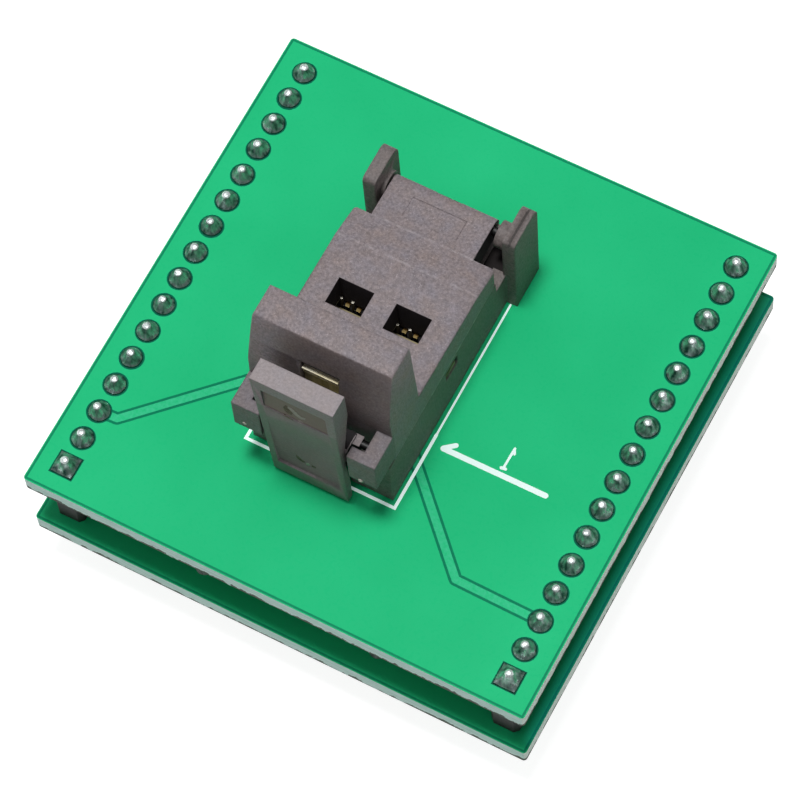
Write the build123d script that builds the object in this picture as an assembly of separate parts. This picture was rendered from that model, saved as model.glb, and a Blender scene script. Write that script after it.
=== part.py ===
"""Test socket adapter: a clamshell socket for two six-lead packages on a pair of stacked boards.

The row frame has its origin on the surface that the plug-in pins stand on, midway between them.
X runs across the pin rows, Y runs along them from the latch to the hinge, and Z points up.
The socket's own pieces are drawn about the socket's centre line, with z = 0 on the upper board.
"""
from build123d import *
from math import cos, pi, sin, sqrt
import os

os.makedirs("parts", exist_ok=True)

# Pin grid and boards
pitch = 2.54                  # pin to pin along every row
row_pins = 16                 # pins in a row
header_span = 38.1            # header rows, centre to centre
plug_span = 15.24             # plug-in rows, centre to centre
board_thick = 1.6
board_corner = 0.3
edge_beside = 2.45            # board edge outside a header row
edge_past = 1.18              # board edge past the end of a strip

# Plug-in pins and strips under the lower board
plug_pin_free = 3.2
plug_pin_r = 0.24
plug_neck_r = 0.35
plug_strip_high = 2.3
plug_strip_wide = 2.3
pin_above_board = 0.6

# Receptacle strips on the lower board, header strips under the upper board
strip_wide = 2.4
strip_notch = 0.35
receptacle_high = 3.46
header_strip_high = 2.54
header_pin = 0.64             # square pin
pin_chamfer = 0.15
plug_in_depth = 2.9           # pin below the header strip
tail = 0.5                    # square tail of a receptacle contact
tail_below_board = 1.0
contact_wall = 0.18
strip_roof = 0.4
solder_r = 0.9
solder_neck_r = 0.68
solder_tip_r = 0.54
solder_high = 0.95
pin_over_solder = 0.1

# Clearances
slip = 0.04                   # pin in its contact, each side
snug = 0.02                   # piece in its own seat, each side
running = 0.05                # pin in a hinge bore, radial
free = 0.15                   # moving plastic past fixed plastic
hole_play = 0.05              # square pin's corners in a drilled hole

# Socket: place and outline
socket_x = -1.45
body_wide = 12.1
front_y = -10.3
rear_y = 12.1
part_z = 5.9                  # parting face between base and lid
base_rear_z = 4.6             # the base's top behind the lid
wall = 1.1
peg_r = 0.5
peg_inset = 1.8

# Sites: two nests side by side
site_y = -0.4
site_step = 4.9
lead_step = 0.95
leads_per_side = 3
nest_x = 3.2
nest_y = 3.3
nest_floor_z = 4.9
bar_wide = 1.4
bar_thick = 0.5
bar_slot_wide = 1.9
bar_slot_high = 1.2
bar_top_z = 4.7
bar_inset = 0.1               # bar end from the body's side

# Contacts of the nests
leaf = 0.2                    # sheet thickness
leaf_wide = 0.34
tip_v = 0.9                   # tip from the site's centre line
tip_z = 5.1
tip_drop = 0.35               # tip above its bend
riser_v = 1.5
bow_v = 3.7
bow_z = 2.8
tail_near_v = 2.4
tail_stagger = 1.1
tail_z = 0.6
cavity_z = 3.5
tail_below = 1.2              # contact tail under the upper board
tail_hole = 0.25
chamber_margin = 0.34

# Lid
deck_z = 9.1
crease_y = 4.0
deck_rear_z = 8.4             # deck height at the lid's rear face
tongue_z = 8.3                # and over the hinge
lid_rear_y = 6.85
window_x = 3.0
window_y = 2.3
ridge_top_z = 17.75
ridge_front_y = -8.2
ridge_rear_y = -5.5
ridge_foot_y = -5.35
lid_front_y = -9.4
ridge_draft = 0.29            # each side, over the ridge's height
bow_start_z = 12.2            # the ridge's front face leans back above this
bow_middle_z = 14.8
bow_out = 0.12
roof = 1.0
pusher_wall = 0.55
pusher_z = 5.3

# Hinge
hinge_y = 10.2
hinge_z = 7.4
hinge_pin_r = 0.4
barrel_r = 0.9
tongue_inset = 1.52           # body side to tongue side
ear_thick = 1.1
ear_gap_left = 0.42           # between tongue and ear
ear_gap_right = 1.32
ear_front_y = 8.4
ear_top_z = 10.3
ear_front_round = 0.45
ear_rear_round = 0.9
groove = 0.14
groove_out = 0.4              # from the right ear's outer face
boss_r = 1.1

# Hinge spring
coil_slot = 2.2
coil_turns = 4
coil_steps = 10               # points of the coil's path in a turn
coil_pitch = 0.27
wire_r = 0.09

# Arms and latch
arm_front_y = -12.25
arm_low_z = 6.2
arm_top_z = 9.85
arm_wide = 1.3
toe_long = 0.9
toe_wide = 2.35
latch_y = -10.3
latch_z = 8.3
latch_pin_r = 0.35
latch_barrel_r = 0.6
latch_top_z = 17.9
latch_low_z = 0.5
latch_top_wide = 6.9
latch_low_wide = 6.4
latch_front_top_y = -12.9
latch_front_low_y = -12.1
latch_back_top_y = -11.1
latch_bulge_y = -10.95
latch_bulge_z = 14.5
latch_waist_y = -11.85
latch_waist_z = 9.4
latch_root_z = 6.7            # the lower leg thickens up to here
latch_low_thick = 0.6
lug = 0.9
lug_out = 0.57
pull_recess = 0.3             # at its upper edge
pull_run_out = 0.06           # at its lower edge
pull_frame = 0.75
pull_high = 2.9
pull_drop = 1.55              # from the latch's top to the upper recess
panel_frame = 0.55
panel_top_z = 11.1
panel_low_z = 2.3
panel_deep = 0.3

# Catch between latch and base
hook_z = 2.6
hook_high = 0.5
hook_reach = 0.55             # under the bar
hook_wide = 4.4
bite = 0.2                    # boxes run this far into the plate they join
catch_gap = 0.3
catch_bar_high = 0.5
catch_pocket = 0.9

# Leaf spring between lid and latch
spring_wide = 3.0
spring_sheet = 0.18
spring_top_z = 14.1
spring_bend_z = 10.0
spring_tip_z = 13.0
spring_pocket = 0.75
spring_foot = 0.5
spring_dip = 0.2
pocket_below = 0.4

# Values worked out from those above
pin_ys = [(i - (row_pins - 1) / 2) * pitch for i in range(row_pins)]
strip_long = row_pins * pitch
board_x = header_span + 2 * edge_beside
board_y = strip_long + 2 * edge_past
lower_z = plug_pin_free + plug_strip_high
lower_top = lower_z + board_thick
receptacle_top = lower_top + receptacle_high
upper_z = receptacle_top + header_strip_high
upper_top = upper_z + board_thick
pin_hole_r = header_pin / sqrt(2) + hole_play
tail_hole_r = tail / sqrt(2) + hole_play
half = body_wide / 2
tongue_half = half - tongue_inset
ear_left_in = tongue_half + ear_gap_left
ear_right_in = tongue_half + ear_gap_right
pin_end = ear_right_in + ear_thick / 2
coil_r = hinge_pin_r + running + wire_r
pegs = [(-half + peg_inset, front_y + peg_inset), (half - peg_inset, rear_y - peg_inset)]
site_us = [-site_step / 2, site_step / 2]
lead_us = [(i - (leads_per_side - 1) / 2) * lead_step for i in range(leads_per_side)]
tail_far_v = tail_near_v + tail_stagger
latch_pin_end = half - arm_wide / 3


def seat(shape):
    """Put a piece drawn about the socket's centre line on the upper board."""
    return Pos(socket_x, 0, upper_top) * shape


def box(x0, x1, y0, y1, z0, z1):
    return Pos((x0 + x1) / 2, (y0 + y1) / 2, (z0 + z1) / 2) * Box(x1 - x0, y1 - y0, z1 - z0)


def slab(points, x0, x1):
    """A side profile given as (y, z) points, from x0 to x1."""
    outline = make_face(Polyline([(0, y, z) for y, z in points], close=True))
    return Pos(x0, 0, 0) * extrude(outline, amount=x1 - x0, dir=(1, 0, 0))


def rod(r, x0, x1, y, z):
    """A round bar along X."""
    return Pos((x0 + x1) / 2, y, z) * Rot(0, 90, 0) * Cylinder(r, x1 - x0)


def upright(r, x, y, z0, z1):
    return Pos(x, y, (z0 + z1) / 2) * Cylinder(r, z1 - z0)


def prism(r, x, y, z0, z1):
    """An eight-sided upright bar: small holes and necks repeat too often to be drawn round."""
    return Pos(x, y, z0) * extrude(RegularPolygon(r, 8), z1 - z0)


def bent_strip(points, thick, wide, x):
    """A sheet strip whose middle follows (y, z) points, with mitred bends."""
    points = [Vector(*p) for p in points]
    runs = [(b - a).normalized() for a, b in zip(points, points[1:])]
    near, far = [], []
    for point, before, after in zip(points, runs[:1] + runs, runs + runs[-1:]):
        middle = (before + after).normalized()
        out = Vector(-middle.Y, middle.X) * (thick / 2 / middle.dot(before))
        near.append(point + out)
        far.insert(0, point - out)
    return slab([(v.X, v.Y) for v in near + far], x - wide / 2, x + wide / 2)


def group(solids, label):
    """Several separate solids that share one node."""
    return Compound(label=label, children=list(solids))


# Boards

def blank_board(z):
    plate = Pos(0, 0, z + board_thick / 2) * Box(board_x, board_y, board_thick)
    return fillet(plate.edges().filter_by(Axis.Z), board_corner)


def drilled(board, holes):
    """Cut every hole, given as (x, y, radius), in one go."""
    drills = [prism(r, x, y, 0, upper_top + board_thick) for x, y, r in holes]
    return board - drills


def lower_board():
    holes = [(side * header_span / 2, y, tail_hole_r) for side in (-1, 1) for y in pin_ys]
    holes += [(side * plug_span / 2, y, plug_neck_r + snug) for side in (-1, 1) for y in pin_ys]
    return drilled(blank_board(lower_z), holes)


def contact_tails():
    """Each nest contact's lead number, row side and tail place, outer tails at the outer leads."""
    for u in site_us:
        for i, lead in enumerate(lead_us):
            for side in (-1, 1):
                yield u, lead, side, tail_far_v if i % 2 else tail_near_v


def upper_board():
    holes = [(side * header_span / 2, y, pin_hole_r) for side in (-1, 1) for y in pin_ys]
    holes += [(socket_x + u + lead, site_y + side * v, tail_hole) for u, lead, side, v in contact_tails()]
    holes += [(socket_x + peg_x, peg_y, peg_r + snug) for peg_x, peg_y in pegs]
    return drilled(blank_board(upper_z), holes)


# Strips and pins

def strip_outline(wide, notch):
    """A break-away strip seen from above: a chamfered block at each pin."""
    block = chamfer(Rectangle(wide, pitch).vertices(), notch)
    return Sketch() + [Pos(0, y) * block for y in pin_ys]


def plug_strip(x):
    strip = Pos(x, 0, plug_pin_free) * extrude(strip_outline(plug_strip_wide, strip_notch), plug_strip_high)
    return strip - [prism(plug_neck_r + snug, x, y, 0, lower_top) for y in pin_ys]


def plug_pin(x, y):
    """A turned pin: a slim plug end below a thicker neck that passes strip and board."""
    neck = prism(plug_neck_r, x, y, plug_pin_free, lower_top + pin_above_board)
    return neck + upright(plug_pin_r, x, y, 0, plug_pin_free)


def receptacle_strip(x):
    strip = Pos(x, 0, lower_top) * extrude(strip_outline(strip_wide, strip_notch), receptacle_high)
    cell = header_pin + 2 * (slip + contact_wall + snug)
    mouth = header_pin + 2 * (slip + snug)
    roof_z = receptacle_top - strip_roof
    cells = [box(x - cell / 2, x + cell / 2, y - cell / 2, y + cell / 2, lower_top, roof_z) for y in pin_ys]
    mouths = [box(x - mouth / 2, x + mouth / 2, y - mouth / 2, y + mouth / 2, roof_z, receptacle_top)
              for y in pin_ys]
    return strip - cells - mouths


def receptacle_contact(x, y):
    """A square sleeve that grips the header pin, on a tail through the lower board."""
    bore = header_pin / 2 + slip
    out = bore + contact_wall
    top = receptacle_top - strip_roof - snug
    floor_z = receptacle_top - plug_in_depth - free
    sleeve = box(x - out, x + out, y - out, y + out, lower_top, top)
    sleeve -= box(x - bore, x + bore, y - bore, y + bore, floor_z, top)
    return sleeve + box(x - tail / 2, x + tail / 2, y - tail / 2, y + tail / 2,
                        lower_z - tail_below_board, lower_top)


def header_strip(x):
    strip = Pos(x, 0, receptacle_top) * extrude(strip_outline(strip_wide, strip_notch), header_strip_high)
    hole = header_pin / 2 + snug
    return strip - [box(x - hole, x + hole, y - hole, y + hole, receptacle_top, upper_z) for y in pin_ys]


def header_pin_at(x, y):
    side = header_pin / 2
    low = receptacle_top - plug_in_depth
    pin = box(x - side, x + side, y - side, y + side, low, upper_top + solder_high + pin_over_solder)
    return chamfer(pin.faces().sort_by(Axis.Z)[0].edges(), pin_chamfer)


def solder_joint(x, y):
    """A hollow-sided solder cone round the pin, on the pad of the upper board."""
    sizes = ((solder_r, 0), (solder_neck_r, solder_high / 3), (solder_tip_r, solder_high))
    rings = [Pos(0, 0, z) * RegularPolygon(r, 8) for r, z in sizes]
    hole = header_pin / 2 + snug
    cone = loft(rings, ruled=True) - box(-hole, hole, -hole, hole, 0, solder_high)
    return Pos(x, y, upper_top) * cone


# Socket base

def ear(x0, x1):
    """One ear of the hinge, rounded in front and behind."""
    plate = box(x0, x1, ear_front_y, rear_y, 0, ear_top_z)
    top = plate.edges().filter_by(Axis.X).group_by(Axis.Z)[-1].sort_by(Axis.Y)
    plate = fillet(top[0], ear_front_round)
    top = plate.edges().filter_by(Axis.X).filter_by(lambda e: abs(e.center().Z - ear_top_z) < 0.01)
    return fillet(top.sort_by(Axis.Y)[-1], ear_rear_round)


def socket_base():
    """The moulded base: nests on top, contact chambers below, ears behind, catch in front."""
    base = slab([(front_y, 0), (rear_y, 0), (rear_y, base_rear_z), (lid_rear_y, base_rear_z),
                 (lid_rear_y, part_z), (front_y, part_z)], -half, half)
    base += ear(-half, -ear_left_in)
    base += ear(ear_right_in, ear_right_in + ear_thick)
    base += rod(boss_r, -ear_left_in, -tongue_half - free, hinge_y, hinge_z)
    base += rod(boss_r, tongue_half + free, ear_right_in, hinge_y, hinge_z)
    groove_x = ear_right_in + ear_thick - groove_out
    base -= box(groove_x - groove, groove_x, ear_front_y, rear_y, ear_top_z - groove, ear_top_z)
    base -= rod(hinge_pin_r + snug, -half, pin_end, hinge_y, hinge_z)
    for u in site_us:
        base -= box(u - nest_x / 2, u + nest_x / 2, site_y - nest_y / 2, site_y + nest_y / 2,
                    nest_floor_z, part_z)
    slot_low = bar_top_z - bar_thick
    base -= box(-half, half, site_y - bar_slot_wide / 2, site_y + bar_slot_wide / 2,
                slot_low, slot_low + bar_slot_high)
    chamber_x = lead_us[-1] + chamber_margin
    chamber_y = bow_v + leaf / 2 + free
    slot = leaf_wide / 2 + snug
    for u in site_us:
        base -= box(u - chamber_x, u + chamber_x, site_y - chamber_y, site_y + chamber_y, 0, cavity_z)
        for lead in lead_us:
            for side in (-1, 1):
                near, far = sorted(side * v for v in (bar_wide / 2, riser_v + leaf / 2 + free))
                base -= box(u + lead - slot, u + lead + slot, site_y + near, site_y + far,
                            cavity_z, nest_floor_z)
    base -= catch_space()
    base += [prism(peg_r, x, y, -board_thick, 0) for x, y in pegs]
    return base


def catch_space():
    """The pocket behind the latch's hook, left open below and above its catch bar."""
    side = hook_wide / 2 + catch_gap
    bar_low = hook_z + hook_high + catch_gap
    pocket = box(-side, side, front_y, front_y + catch_pocket, 0, part_z)
    return pocket - box(-side, side, front_y, front_y + catch_pocket, bar_low, bar_low + catch_bar_high)


def nest_bar():
    return box(-half + bar_inset, half - bar_inset, site_y - bar_wide / 2, site_y + bar_wide / 2,
               bar_top_z - bar_thick, bar_top_z)


def nest_contact(u, side, tail_v):
    """A bowed leaf: tail, foot, bow, riser and a tip that turns in under the lead."""
    path = [(tail_v, -board_thick - tail_below), (tail_v, tail_z), (bow_v, tail_z), (bow_v, bow_z),
            (riser_v, bow_z), (riser_v, tip_z - tip_drop), (tip_v, tip_z)]
    return bent_strip([(site_y + side * v, z) for v, z in path], leaf, leaf_wide, u)


# Lid

def lid_profile():
    """Side outline of the lid without its arms: deck, ridge and hinge tongue in one."""
    bow_y = (ridge_front_y + lid_front_y) / 2 - bow_out
    nose = Polyline((0, lid_front_y, bow_start_z), (0, lid_front_y, part_z), (0, lid_rear_y, part_z),
                    (0, hinge_y, part_z + free), (0, hinge_y, tongue_z), (0, lid_rear_y, deck_rear_z),
                    (0, crease_y, deck_z),
                    (0, ridge_foot_y, deck_z), (0, ridge_rear_y, ridge_top_z),
                    (0, ridge_front_y, ridge_top_z))
    bow = ThreePointArc((0, ridge_front_y, ridge_top_z), (0, bow_y, bow_middle_z),
                        (0, lid_front_y, bow_start_z))
    return make_face([nose, bow])


def lid_front_view():
    """Front outline that tapers the ridge above the deck."""
    top = half - ridge_draft
    return make_face(Polyline((-half, 0, 0), (half, 0, 0), (half, 0, deck_z), (top, 0, ridge_top_z),
                              (-top, 0, ridge_top_z), (-half, 0, deck_z), close=True))


def lid_arm(side):
    """An L-shaped arm that carries the latch pin, with its toe turned in towards the latch."""
    out, inner, toe = side * half, side * (half - arm_wide), side * (half - toe_wide)
    x0, x1 = sorted((out, inner))
    t0, t1 = sorted((out, toe))
    arm = box(x0, x1, arm_front_y, lid_front_y, arm_low_z, arm_top_z)
    return arm + box(t0, t1, arm_front_y, arm_front_y + toe_long, arm_low_z, arm_top_z)


def lid():
    """The moulded lid: deck with two windows, ridge, arms for the latch pin and hinge tongue."""
    body = Pos(-half, 0, 0) * extrude(lid_profile(), amount=2 * half, dir=(1, 0, 0))
    body &= Pos(0, lid_front_y, 0) * extrude(lid_front_view(), amount=rear_y - lid_front_y, dir=(0, 1, 0))
    for side in (-1, 1):
        x0, x1 = sorted((side * tongue_half, side * half))
        body -= box(x0, x1, lid_rear_y, rear_y, 0, ear_top_z)
    body += rod(barrel_r, -tongue_half, tongue_half, hinge_y, hinge_z)
    body -= rod(hinge_pin_r + running, -tongue_half, tongue_half, hinge_y, hinge_z)
    body -= box(-coil_slot / 2, coil_slot / 2, lid_rear_y + free, rear_y, 0, hinge_z + coil_r)
    body -= rod(coil_r + 2 * wire_r, -coil_slot / 2, coil_slot / 2, hinge_y, hinge_z)
    body -= box(-half + wall, half - wall, lid_front_y + wall, lid_rear_y - wall, 0, deck_z - roof)
    x, y = window_x / 2, window_y / 2
    pad_x, pad_y = nest_x / 2 - free, nest_y / 2 - free
    for u in site_us:
        frame_x, frame_y = x + pusher_wall, y + pusher_wall
        body += box(u - frame_x, u + frame_x, site_y - frame_y, site_y + frame_y, part_z, deck_z - roof)
        body += box(u - pad_x, u + pad_x, site_y - pad_y, site_y + pad_y, pusher_z, part_z)
        body -= box(u - x, u + x, site_y - y, site_y + y, 0, deck_z)
    body += lid_arm(-1)
    body += lid_arm(1)
    body -= rod(latch_pin_r + snug, -half, latch_pin_end, latch_y, latch_z)
    pocket = spring_wide / 2 + free
    back = lid_front_y + spring_pocket + spring_sheet / 2 + snug
    return body - box(-pocket, pocket, lid_front_y - 1, back, spring_bend_z - pocket_below, spring_top_z + snug)


# Hinge pin and spring

def hinge_pin():
    return rod(hinge_pin_r, -half, pin_end - snug, hinge_y, hinge_z)


def hinge_spring():
    """Coils round the hinge pin, with a leg on the base and a leg under the lid's tongue."""
    points = []
    for i in range(coil_steps * coil_turns + coil_steps // 2 + 1):
        a = 2 * pi * i / coil_steps - pi / 2
        points.append(Vector(coil_pitch * (i / coil_steps - coil_turns / 2), hinge_y + coil_r * cos(a),
                             hinge_z + coil_r * sin(a)))
    leg_y = lid_rear_y + 2 * free
    points.insert(0, Vector(points[0].X, leg_y, base_rear_z + wire_r + free))
    points.append(Vector(points[-1].X, leg_y, hinge_z))
    runs = [(b - a).normalized() for a, b in zip(points, points[1:])]
    rings = [Plane(origin=point, x_dir=(1, 0, 0), z_dir=before + after) * Rectangle(2 * wire_r, 2 * wire_r)
             for point, before, after in zip(points, runs[:1] + runs, runs + runs[-1:])]
    return loft(rings, ruled=True)


# Latch

def latch_width(z):
    low, top = latch_low_wide / 2, latch_top_wide / 2
    return low + (top - low) * (z - latch_low_z) / (latch_top_z - latch_low_z)


def latch_front(z):
    lean = (latch_front_top_y - latch_front_low_y) / (latch_top_z - latch_low_z)
    return latch_front_low_y + lean * (z - latch_low_z)


def latch():
    back_low = latch_front_low_y + latch_low_thick
    profile = [(latch_front_low_y, latch_low_z), (back_low, latch_low_z), (back_low, hook_z + hook_high),
               (latch_waist_y, latch_root_z), (latch_waist_y, latch_waist_z),
               (latch_bulge_y, latch_bulge_z), (latch_back_top_y, latch_top_z),
               (latch_front_top_y, latch_top_z)]
    wide = latch_top_wide
    plate = slab(profile, -wide, wide)
    low, top = latch_low_wide / 2, latch_top_wide / 2
    outline = make_face(Polyline((-low, 0, latch_low_z), (low, 0, latch_low_z), (top, 0, latch_top_z),
                                 (-top, 0, latch_top_z), close=True))
    plate = plate & (Pos(0, latch_y, 0) * extrude(outline, amount=5, dir=(0, -1, 0), both=True))
    barrel = latch_width(latch_z)
    plate += box(-barrel, barrel, latch_waist_y - bite, latch_y, latch_z - latch_barrel_r, latch_z + latch_barrel_r)
    plate += rod(latch_barrel_r, -barrel, barrel, latch_y, latch_z)
    reach = barrel + lug_out
    plate += box(-reach, reach, latch_y - lug / 2, latch_y + lug / 2, latch_z - lug / 2, latch_z + lug / 2)
    plate += box(-hook_wide / 2, hook_wide / 2, back_low - bite, front_y + hook_reach, hook_z, hook_z + hook_high)
    plate -= rod(latch_pin_r + running, -reach, reach, latch_y, latch_z)
    plate -= pull_space()
    return plate - panel_space()


def pull_space():
    """The finger recess under the latch's top edge, deepest at its upper edge."""
    top = latch_top_z - pull_drop
    low = top - pull_high
    side = latch_width(top) - pull_frame
    return slab([(latch_front(top) - 1, top), (latch_front(top) + pull_recess, top),
                 (latch_front(low) + pull_run_out, low), (latch_front(low) - 1, low)], -side, side)


def panel_space():
    """The long panel below it, which deepens towards a ledge at the bottom."""
    side = latch_width(panel_low_z) - panel_frame
    return slab([(latch_front(panel_top_z), panel_top_z), (latch_front(panel_low_z) + panel_deep, panel_low_z),
                 (latch_front(panel_low_z) - 1, panel_low_z), (latch_front(panel_top_z) - 1, panel_top_z)],
                -side, side)


def latch_pin():
    return rod(latch_pin_r, -half, latch_pin_end - snug, latch_y, latch_z)


def latch_spring():
    """A leaf bent to a V: one leg lies in the lid's pocket, the other bears on the latch."""
    back = lid_front_y + spring_pocket
    tip = latch_waist_y + (latch_bulge_y - latch_waist_y) * (spring_tip_z - latch_waist_z) / (
        latch_bulge_z - latch_waist_z)
    path = [(back, spring_top_z - spring_sheet / 2), (back, spring_bend_z),
            (back - spring_foot, spring_bend_z - spring_dip), (tip + spring_sheet, spring_tip_z)]
    return bent_strip(path, spring_sheet, spring_wide, 0)


def site_contacts(u):
    return [nest_contact(s + lead, side, v) for s, lead, side, v in contact_tails() if s == u]


# Every node with its solids

nodes = {"lower_board": [lower_board()], "upper_board": [upper_board()]}
for name, side in (("left", -1), ("right", 1)):
    plug_x = side * plug_span / 2
    header_x = side * header_span / 2
    nodes["plug_strip_" + name] = [plug_strip(plug_x)]
    nodes["plug_pins_" + name] = [plug_pin(plug_x, y) for y in pin_ys]
    nodes["receptacle_strip_" + name] = [receptacle_strip(header_x)]
    nodes["receptacle_contacts_" + name] = [receptacle_contact(header_x, y) for y in pin_ys]
    nodes["header_strip_" + name] = [header_strip(header_x)]
    nodes["header_pins_" + name] = [header_pin_at(header_x, y) for y in pin_ys]
    nodes["header_solder_" + name] = [solder_joint(header_x, y) for y in pin_ys]
    nodes["site_contacts_" + name] = [seat(c) for c in site_contacts(side * site_step / 2)]
for name, piece in (("socket_base", socket_base), ("nest_bar", nest_bar), ("hinge_pin", hinge_pin),
                    ("hinge_spring", hinge_spring), ("lid", lid), ("latch_pin", latch_pin),
                    ("latch", latch), ("latch_spring", latch_spring)):
    nodes[name] = [seat(piece())]

for name, solids in nodes.items():
    shape = solids[0] if len(solids) == 1 else group(solids, name)
    export_step(shape, f"parts/{name}.step")
    print(name, len(solids))
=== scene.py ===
"""Looks of a test socket adapter: a clamshell socket for two small packages on a pair of stacked boards.

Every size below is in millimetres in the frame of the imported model; mm turns it into metres.
"""
import math

import bmesh
import bpy
from mathutils import Matrix, Vector


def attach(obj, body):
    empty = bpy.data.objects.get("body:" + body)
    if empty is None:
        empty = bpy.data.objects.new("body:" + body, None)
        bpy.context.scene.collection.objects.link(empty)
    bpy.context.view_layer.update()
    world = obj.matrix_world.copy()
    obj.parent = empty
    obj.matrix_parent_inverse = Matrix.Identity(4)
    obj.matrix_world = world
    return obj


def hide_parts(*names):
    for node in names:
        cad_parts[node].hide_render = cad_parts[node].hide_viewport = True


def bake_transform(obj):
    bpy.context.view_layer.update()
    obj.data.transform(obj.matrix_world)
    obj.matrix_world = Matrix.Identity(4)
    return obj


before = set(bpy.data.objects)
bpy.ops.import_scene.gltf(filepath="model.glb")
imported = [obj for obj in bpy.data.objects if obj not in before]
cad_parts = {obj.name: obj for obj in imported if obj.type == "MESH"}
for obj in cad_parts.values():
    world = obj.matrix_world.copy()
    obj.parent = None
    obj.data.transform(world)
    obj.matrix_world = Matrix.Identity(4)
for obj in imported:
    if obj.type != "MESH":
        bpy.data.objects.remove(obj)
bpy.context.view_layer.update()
mm = 0.001


# The ground, the lamps and the camera: a pale sheet under a soft lamp nearly overhead, a weak wide
# one to the left of the lens, light from the ceiling, and a long lens from the front right.

scene, shelf = bpy.context.scene, bpy.context.scene.collection
scene.view_settings.view_transform = "Standard"

sheet_mesh = bpy.data.meshes.new("white_sheet")
sheet_mesh.from_pydata([(-2, -2, 0), (2, -2, 0), (2, 2, 0), (-2, 2, 0)], [], [(0, 1, 2, 3)])
white_sheet = bpy.data.objects.new("white_sheet", sheet_mesh)
shelf.objects.link(white_sheet)

paper = bpy.data.materials.new("white_paper")
paper.use_nodes = True
nodes, links = paper.node_tree.nodes, paper.node_tree.links
paper_body = nodes["Principled BSDF"]
paper_body.inputs["Base Color"].default_value = (0.34, 0.34, 0.34, 1)
paper_body.inputs["Roughness"].default_value = 0.9
rays = nodes.new("ShaderNodeLightPath")
seen = rays.outputs["Is Camera Ray"]
for ray in ("Is Glossy Ray", "Is Transmission Ray"):
    either = nodes.new("ShaderNodeMath")
    either.operation = "MAXIMUM"
    links.new(seen, either.inputs[0])
    links.new(rays.outputs[ray], either.inputs[1])
    seen = either.outputs[0]
glow = nodes.new("ShaderNodeMath")
glow.operation = "MULTIPLY"
glow.inputs[1].default_value = 0.88
links.new(seen, glow.inputs[0])
paper_body.inputs["Emission Color"].default_value = (1, 1, 1, 1)
links.new(glow.outputs[0], paper_body.inputs["Emission Strength"])
sheet_mesh.materials.append(paper)

world = bpy.data.worlds.new("studio")
world.use_nodes = True
scene.world = world
nodes, links = world.node_tree.nodes, world.node_tree.links
background = nodes["Background"]
direction = nodes.new("ShaderNodeTexCoord")
height = nodes.new("ShaderNodeSeparateXYZ")
sky = nodes.new("ShaderNodeValToRGB")
sky.color_ramp.elements[0].position = 0.42
sky.color_ramp.elements[0].color = (0.03, 0.03, 0.03, 1)
sky.color_ramp.elements[1].position = 0.95
sky.color_ramp.elements[1].color = (0.60, 0.61, 0.62, 1)
links.new(direction.outputs["Generated"], height.inputs[0])
links.new(height.outputs["Z"], sky.inputs[0])
links.new(sky.outputs[0], background.inputs["Color"])


def soft_lamp(name, spot, aim, size, power):
    """A square soft box at a point, turned to what it lights."""
    light = bpy.data.lights.new(name, "AREA")
    light.shape = "SQUARE"
    light.size = size
    light.energy = power
    lamp = bpy.data.objects.new(name, light)
    shelf.objects.link(lamp)
    lamp.location = spot
    lamp.rotation_euler = (Vector(aim) - Vector(spot)).to_track_quat("-Z", "Y").to_euler()


soft_lamp("lamp_over", (-0.036, -0.03, 0.86), (0, 0, 0.015), 0.15, 5.4)
soft_lamp("lamp_left", (-0.82, -0.42, 0.36), (0, 0, 0.015), 0.6, 0.62)

lens = bpy.data.cameras.new("camera")
lens.lens = 190.622
lens.sensor_width = 36.0
lens.clip_start = 0.02
camera = bpy.data.objects.new("camera", lens)
shelf.objects.link(camera)
right, down = Vector((0.88167605, 0.46968036, -0.04525148)), Vector((0.41136523, -0.81208353, -0.41388281))
forward = Vector((-0.2311406, 0.34629568, -0.90920478))
look = Matrix((right, -down, -forward)).transposed().to_4x4()
camera.matrix_world = Matrix.Translation(Vector((76.135, -115.049, 309.709)) * mm) @ look
scene.camera = camera


# The two boards: glass-epoxy plates with a copper pour under bright green solder mask. The mask
# shows a darker line where the copper stops, along the rim and on both sides of two wide traces,
# and the sawn edges show the pale laminate.

# half a side, the heights of the upper faces and of the lower board's underside, the rows' places and their pitch
half_board, upper_top, lower_top, lower_under = 21.5, 14.7, 7.1, 5.5
header_x, plug_x, pitch = 19.05, 7.62, 2.54
mask_green, cloudy_green = (0.013, 0.455, 0.178, 1), (0.018, 0.500, 0.202, 1)
copper_green, line_green, ring_shade_green = (0.075, 0.54, 0.32, 1), (0.002, 0.185, 0.090, 1), (0.001, 0.105, 0.060, 1)


def new_finish(name, rough=0.5, metal=0.0):
    """A material with one Principled shader; gives the material, its nodes, its links and the shader."""
    finish = bpy.data.materials.new(name)
    finish.use_nodes = True
    shader = finish.node_tree.nodes["Principled BSDF"]
    shader.inputs["Roughness"].default_value = rough
    shader.inputs["Metallic"].default_value = metal
    return finish, finish.node_tree.nodes, finish.node_tree.links, shader


def new_effect(name, inputs, outputs):
    """A shader node group with named sockets; gives the tree and its two end nodes."""
    tree = bpy.data.node_groups.new(name, "ShaderNodeTree")
    for label, kind, value in inputs:
        socket = tree.interface.new_socket(label, in_out="INPUT", socket_type=kind)
        if value is not None:
            socket.default_value = value
    for label, kind in outputs:
        tree.interface.new_socket(label, in_out="OUTPUT", socket_type=kind)
    return tree, tree.nodes.new("NodeGroupInput"), tree.nodes.new("NodeGroupOutput")


def calc(tree, what, a, b=None, c=None):
    """A math node in a tree, fed by numbers or sockets."""
    node = tree.nodes.new("ShaderNodeMath")
    node.operation = what
    for i, value in enumerate((a, b, c)):
        if isinstance(value, (int, float)):
            node.inputs[i].default_value = value
        elif value is not None:
            tree.links.new(value, node.inputs[i])
    return node.outputs[0]


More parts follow.
